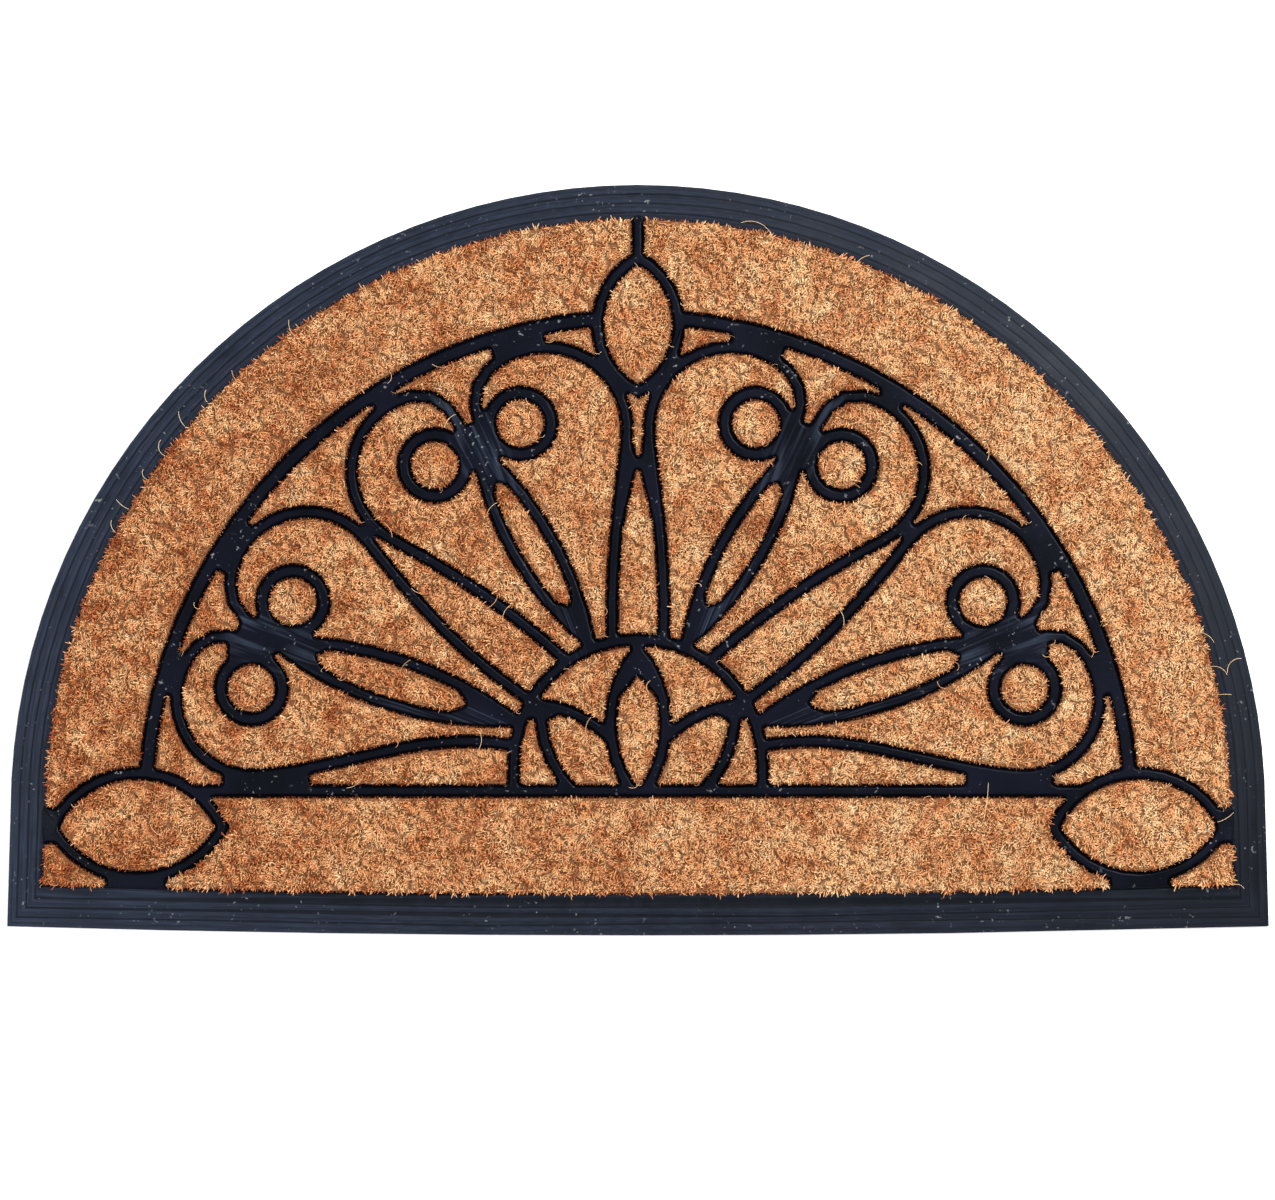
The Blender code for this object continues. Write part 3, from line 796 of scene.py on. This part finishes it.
def storeNumber(tree, place, geometry, name, value):
    return addNode(tree, "GeometryNodeStoreNamedAttribute", place, {
        "Geometry": geometry, "Name": name, "Value": value}, data_type="FLOAT", domain="POINT")


def joinNode(tree, place, *parts):
    node = addNode(tree, "GeometryNodeJoinGeometry", place)
    for part in parts:
        feed(tree, node, {"Geometry": part})
    return node


def plantKinds(tree, place, points, kinds, count, seed, feeds):
    # one of the kinds, by chance, at each point
    source = addNode(tree, "GeometryNodeCollectionInfo", (place[0] - 300, place[1]), {
        "Collection": kinds, "Separate Children": True, "Reset Children": True})
    which = chanceNode(tree, "INT", (place[0] - 300, place[1] - 250), 0, count - 1, seed)
    return addNode(tree, "GeometryNodeInstanceOnPoints", place, {
        "Points": points, "Instance": source, "Pick Instance": True, "Instance Index": which, **feeds})


def dressWalls(tree, start, facing, spot, tone, kinds):
    # the sides are dressed with single strands that stand up along them
    steepness = mathNode(tree, "ABSOLUTE", (-1200, -1800), (facing, "Z"))
    steep = compareNode(tree, "LESS_THAN", (-1000, -1800), steepness, pile["upFrom"])
    points = scatterNode(tree, "POISSON", (-800, -1800), start, steep, {
        "Distance Min": pile["wallSpacing"] * mm, "Density Max": pile["wallDensity"] / (mm * mm)})
    # rust and painted shade: the side strands take the rim's darker tone, and a little more
    shaded = mathNode(tree, "ADD", (-800, -2000), tone, pile["wallShade"])
    marked = storeNumber(tree, (-600, -1800), points, "tuftTone", shaded)
    lean, loose = pile["wallLean"], pile["wallLoose"]
    own = chanceNode(tree, "FLOAT_VECTOR", (-800, -2200), (-loose, -loose, 0.0),
                     (loose, loose, pile["wallUp"]), pile["seed"] + 5)
    leanOut = vectorMath(tree, "MULTIPLY_ADD", (-600, -2000), (points, "Normal"), (lean, lean, 0.0),
                         (0.0, 0.0, 1.0))
    aim = vectorMath(tree, "ADD", (-400, -2000), leanOut, own)
    stand = addNode(tree, "FunctionNodeAlignRotationToVector", (-200, -2000), {"Vector": aim}, axis="Z")
    size = chanceNode(tree, "FLOAT", (0, -2300), *pile["wallSize"], pile["seed"] + 7)
    high = compareNode(tree, "GREATER_THAN", (0, -2500), (spot, "Z"), pile["wallFrom"] * mm)
    return plantKinds(tree, (300, -1800), marked, kinds, pile["wallKinds"], pile["seed"] + 6, {
        "Selection": high, "Rotation": stand, "Scale": size})


def layStrays(tree, start, upward, kinds):
    # a few long fibres lie loose on the tips
    sparse = scatterNode(tree, "RANDOM", (-600, -1100), start, upward, {
        "Density": strays["perField"] / (mm * mm)})
    lifted = addNode(tree, "GeometryNodeSetPosition", (-400, -1100), {
        "Geometry": sparse, "Offset": (0.0, 0.0, strays["lift"] * mm)})
    tone = chanceNode(tree, "FLOAT", (-400, -1400), *strays["shades"], strays["seed"])
    marked = storeNumber(tree, (-200, -1100), lifted, "tuftTone", tone)
    tilt = strays["tilt"]
    turn = chanceNode(tree, "FLOAT_VECTOR", (-200, -1400), (-tilt, -tilt, 0.0), (tilt, tilt, math.tau),
                      strays["seed"] + 1)
    rotation = addNode(tree, "FunctionNodeEulerToRotation", (0, -1400), {"Euler": turn})
    return plantKinds(tree, (300, -1100), marked, kinds, len(strays["kinds"]), strays["seed"] + 2, {
        "Rotation": rotation})


def makeGrowth(tufts, wallKinds, strayKinds, coir):
    tree = bpy.data.node_groups.new("pileGrowth", "GeometryNodeTree")
    for label, kind in (("Geometry", "Geometry"), ("Seed", "Int"), ("Ragged", "Float")):
        tree.interface.new_socket(label, in_out="INPUT", socket_type="NodeSocket" + kind)
    tree.interface.new_socket("Geometry", in_out="OUTPUT", socket_type="NodeSocketGeometry")
    start = addNode(tree, "NodeGroupInput", (-1800, 0))
    end = addNode(tree, "NodeGroupOutput", (1800, 0))
    # tufts stand only where the mat looks up
    normal = addNode(tree, "GeometryNodeInputNormal", (-1600, 300))
    facing = addNode(tree, "ShaderNodeSeparateXYZ", (-1400, 300), {"Vector": normal})
    upward = compareNode(tree, "GREATER_THAN", (-1200, 300), (facing, "Z"), pile["upFrom"])
    scatter = scatterNode(tree, "POISSON", (-1000, 0), start, upward, {
        "Distance Min": pile["spacing"] * mm, "Density Max": pile["densityMax"] / (mm * mm)})
    # how near the top's rim is, and which way it lies
    position = addNode(tree, "GeometryNodeInputPosition", (-1800, -300))
    spot = addNode(tree, "ShaderNodeSeparateXYZ", (-1200, 1150), {"Vector": position})
    walls = addNode(tree, "GeometryNodeSeparateGeometry", (-1400, 550), {
        "Geometry": start, "Selection": upward}, domain="FACE")
    rim = addNode(tree, "GeometryNodeProximity", (-1200, 550), {0: (walls, "Inverted")},
                  target_element="FACES")
    clear = compareNode(tree, "GREATER_THAN", (-1000, 550), (rim, "Distance"), pile["rimClear"] * mm)
    closeness = mapRange(tree, (-1000, 400), (rim, "Distance"), (0.0, pile["rimReach"] * mm), (1.0, 0.0))
    toRim = vectorMath(tree, "SUBTRACT", (-1000, 700), rim, position)
    levelled = vectorMath(tree, "MULTIPLY", (-850, 700), toRim, (1.0, 1.0, 0.0))
    outward = vectorMath(tree, "NORMALIZE", (-700, 700), levelled)
    # the side towards the border is ragged: some clumps there hang out
    fromCentre = vectorMath(tree, "SUBTRACT", (-850, 1350), position, pile["raggedCentre"])
    facesOut = vectorMath(tree, "DOT_PRODUCT", (-700, 1350), fromCentre, outward)
    outside = mathNode(tree, "GREATER_THAN", (-550, 1350), facesOut, 0.0)
    ragged = mathNode(tree, "MULTIPLY", (-400, 1350), outside, (start, "Ragged"))
    # lean: each clump's strands draw together, lean its own way, and each a little by chance
    warp = addNode(tree, "ShaderNodeTexNoise", (-1600, -500), {
        "Vector": position, "Scale": pile["warpScale"]})
    bend = pile["warpReach"] * mm
    bent = vectorMath(tree, "MULTIPLY_ADD", (-1450, -400), (warp, "Color"), (bend, bend, 0.0), position)
    clump = addNode(tree, "ShaderNodeTexVoronoi", (-1300, -300), {
        "Vector": bent, "Scale": pile["clumpScale"]}, voronoi_dimensions="2D")
    toward = vectorMath(tree, "SUBTRACT", (-1100, -450), (clump, "Position"), bent)
    pull, lean, loose = pile["clumpPull"] / mm, pile["clumpLean"], pile["randomLean"]
    drawn = vectorMath(tree, "MULTIPLY", (-950, -450), toward, (pull, pull, 0.0))
    centred = vectorMath(tree, "SUBTRACT", (-1100, -250), (clump, "Color"), (0.5, 0.5, 0.5))
    leaning = vectorMath(tree, "MULTIPLY_ADD", (-950, -250), centred, (lean, lean, 0.0), drawn)
    own = chanceNode(tree, "FLOAT_VECTOR", (-1000, -650), (-loose, -loose, 0.0),
                     (loose, loose, pile["randomUp"]), pile["seed"])
    away = vectorMath(tree, "ADD", (-750, -300), leaning, own)
    clumpTone = addNode(tree, "ShaderNodeSeparateXYZ", (-1100, -50), {"Vector": (clump, "Color")})
    calm = mapRange(tree, (-750, -100), closeness, toRange=(1.0, pile["rimLean"]))
    eased = vectorMath(tree, "SCALE", (-600, -300), away, calm)
    hang = chainNodes(tree, "MULTIPLY", (-700, 100), (clumpTone, "X"), [pile["raggedOut"], ragged])
    push = mathNode(tree, "ADD", (-400, 100), hang, pile["rimInward"])
    pushHere = mathNode(tree, "MULTIPLY", (-250, 100), push, closeness)
    pushed = vectorMath(tree, "SCALE", (-400, -50), outward, pushHere)
    upright = vectorMath(tree, "ADD", (-400, -300), eased, (0.0, 0.0, pile["upright"]))
    aim = vectorMath(tree, "ADD", (-300, -100), upright, pushed)
    stand = addNode(tree, "FunctionNodeAlignRotationToVector", (-300, -200), {"Vector": aim}, axis="Z")
    # turn and size
    swing = pile["clumpTurn"]
    loosely = chanceNode(tree, "FLOAT", (-650, -500), -swing, swing, pile["seed"] + 1)
    clumpWay = mathNode(tree, "MULTIPLY", (-650, -650), (clumpTone, "Y"), math.tau)
    turn = mathNode(tree, "ADD", (-450, -500), loosely, clumpWay)
    spin = addNode(tree, "FunctionNodeAxisAngleToRotation", (-300, -500), {"Angle": turn})
    turned = addNode(tree, "FunctionNodeRotateRotation", (-100, -300), {
        "Rotation": stand, "Rotate By": spin}, rotation_space="LOCAL")
    size = chanceNode(tree, "FLOAT", (-100, -600), *pile["sizeRange"], pile["seed"] + 2)
    lower = mapRange(tree, (-100, -900), closeness, toRange=(1.0, pile["rimSize"]))
    tall = mathNode(tree, "MAXIMUM", (0, -900), lower, ragged)
    fullSize = mathNode(tree, "MULTIPLY", (100, -700), size, tall)
    # shade: chance, patches some 12 mm across, slow drift, rust and painted shade towards the rim, and
    # clumps
    spread, apart = pile["chanceShade"], pile["clumpShade"]
    chance = chanceNode(tree, "FLOAT", (-900, 700), -spread, spread, pile["seed"] + 3)
    patch = addNode(tree, "ShaderNodeTexNoise", (-1200, 900), {
        "Vector": position, "Scale": pile["patchScale"], "Detail": pile["patchDetail"]})
    driftRange = [end * mm for end in pile["driftRange"]]
    tone = chainNodes(tree, "ADD", (-700, 800), chance, [
        mapRange(tree, (-900, 900), patch, pile["patchRange"], pile["patchShade"]),
        mapRange(tree, (-900, 1150), (spot, "X"), driftRange, pile["driftShade"]),
        mathNode(tree, "MULTIPLY", (-500, 500), closeness, pile["rimRustAndShade"]),
        mapRange(tree, (-500, 250), (clumpTone, "Z"), toRange=(-apart, apart))])
    marked = storeNumber(tree, (0, 300), scatter, "tuftTone", tone)
    plant = plantKinds(tree, (300, 0), marked, tufts, pile["tuftKinds"], pile["seed"] + 4, {
        "Selection": clear, "Rotation": turned, "Scale": fullSize})
    lay = layStrays(tree, start, upward, strayKinds)
    dress = dressWalls(tree, start, facing, spot, tone, wallKinds)
    both = joinNode(tree, (450, -400), lay, dress, plant)
    real = addNode(tree, "GeometryNodeRealizeInstances", (550, 0), {"Geometry": both})
    # each strand's own shade, kept as one number
    tuftTone, strandTone = (
        addNode(tree, "GeometryNodeInputNamedAttribute", (550, y), {"Name": name}, data_type="FLOAT")
        for name, y in (("tuftTone", 300), ("strandTone", 500)))
    own = pile["strandShade"]
    ownShade = mapRange(tree, (750, 500), strandTone, toRange=(-own, own))
    shade = mathNode(tree, "ADD", (950, 400), tuftTone, ownShade)
    kept = storeNumber(tree, (1000, 0), real, "shade", shade)
    dressed = addNode(tree, "GeometryNodeSetMaterial", (1250, 0), {"Geometry": kept, "Material": coir})
    feed(tree, end, {"Geometry": joinNode(tree, (1500, 0), dressed, start)})
    return tree


def lowerMat(piece):
    # the tufts take the place of the crown's upper part
    for part in ("Top", "Shoulder"):
        fromHeight, toHeight = pile["cad" + part] * mm, pile["mat" + part] * mm
        bpy.ops.mesh.select_all(action="DESELECT")
        selectParts(piece, "verts", lambda vert: abs(vert.co.z - fromHeight) < pile["levelWithin"] * mm)
        bpy.ops.transform.translate(value=(0, 0, toHeight - fromHeight))
    # the shoulder, still selected, is drawn in: the tufts overhang from there
    mesh = bmesh.from_edit_mesh(piece.data)
    mesh.normal_update()
    for vert in mesh.verts:
        if vert.select:
            flat = Vector((vert.normal.x, vert.normal.y, 0.0))
            if flat.length > 0.1:
                vert.co -= flat.normalized() * pile["edgeIn"] * mm
    bmesh.update_edit_mesh(piece.data)


coirNodes = sorted(name for name in frame["nodes"] if name.startswith("coir_"))
byBorder = ("coir_band", "coir_bottom", "coir_corner_left", "coir_corner_right")


def makePile():
    tufts, wallKinds, strayKinds = makeTufts(), makeWallStrands(), makeStrays()
    coir, matting = makeCoir(), makeMatting()
    growth = makeGrowth(tufts, wallKinds, strayKinds, coir)
    seed, ragged = (growth.interface.items_tree[label].identifier for label in ("Seed", "Ragged"))
    pieces = []
    for number, nodeName in enumerate(coirNodes):
        piece = copyOfNode(nodeName, nodeName.replace("coir_", "pile_"))
        mergeCopy(piece)
        lowerMat(piece)
        bpy.ops.object.mode_set(mode="OBJECT")
        piece.data.materials.append(matting)
        piece.data.materials.append(coir)
        pickOnly(piece)
        grow = piece.modifiers.new("grow", "NODES")
        grow.node_group = growth
        grow[seed] = number
        grow[ragged] = 1.0 if nodeName.startswith(byBorder) else 0.0
        bpy.ops.object.modifier_apply(modifier=grow.name)
        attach(piece, "root")
        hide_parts(nodeName)
        pieces.append(piece)
    for kinds in (tufts, wallKinds, strayKinds):
        for kind in list(kinds.objects):
            bpy.data.objects.remove(kind)
        bpy.data.collections.remove(kinds)
    return pieces, coir


def layFibre(fibre, spot, turn, tone, flip=False, tilt=0.0):
    editPiece(fibre)
    bpy.ops.mesh.select_all(action="SELECT")
    if flip:
        turnSelected("Y", math.pi)
    if tilt:
        turnSelected("X", tilt)
    turnSelected("Z", turn)
    bpy.ops.transform.translate(value=spot)
    bpy.ops.object.mode_set(mode="OBJECT")
    markStrand(fibre, "shade", tone)
    return fibre


def makeEdgeFibres(coir):
    # long fibres that reach out of the pile's edges, over the ridges and the border
    chance = random.Random(strays["seed"])
    fibres = []
    for nodeName in coirNodes:
        low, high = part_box(nodeName)
        rim = sorted({tuple(round(value, 6) for value in vert.co)
                      for vert in frame["nodes"][nodeName].data.vertices
                      if vert.co.z > high.z - strays["rimWithin"] * mm})
        middle = sum((Vector(spot) for spot in rim), Vector()) / len(rim)
        around = (high - low).x + (high - low).y
        share = strays["overEdge"] + int(around / (strays["edgePitch"] * mm))
        for spot in chance.sample(rim, min(share, len(rim))):
            length = chance.uniform(*strays["edgeLength"]) * mm
            bend = chance.uniform(*strays["edgeBend"])
            fibre = addFibre("edgeFibre_%d" % len(fibres), length, bend, strays["edgeRadius"] * mm)
            out = Vector(spot) - middle
            swing = chance.uniform(-strays["edgeSwing"], strays["edgeSwing"])
            heading = math.atan2(out.y, out.x) - math.pi / 2 + swing
            flip = chance.random() < 0.5
            tilt = chance.uniform(*strays["edgeTilt"])
            start = (spot[0], spot[1], spot[2] - chance.uniform(*strays["edgeDeep"]) * mm)
            tone = chance.uniform(*strays["edgeShades"])
            fibres.append(layFibre(fibre, start, -heading, tone, flip, tilt))
    for x, y, heading, length, bend, height, tone in strays["laid"]:
        fibre = addFibre("laidFibre_%d" % len(fibres), length * mm, bend, strays["laidRadius"] * mm)
        start = (x * mm, y * mm, height * mm)
        fibres.append(layFibre(fibre, start, math.radians(heading), tone))
    piece = joinPieces(fibres, "edgeFibres")
    piece.data.materials.append(coir)
    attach(piece, "root")
    return piece


pilePieces, coirFibre = makePile()
faceCounts = [len(piece.data.polygons) for piece in pilePieces]
print("stage: pile grown,", sum(faceCounts), "faces, most in a piece", max(faceCounts))

edgeFibres = makeEdgeFibres(coirFibre)
print("stage: loose fibres laid,", len(edgeFibres.data.polygons), "faces")
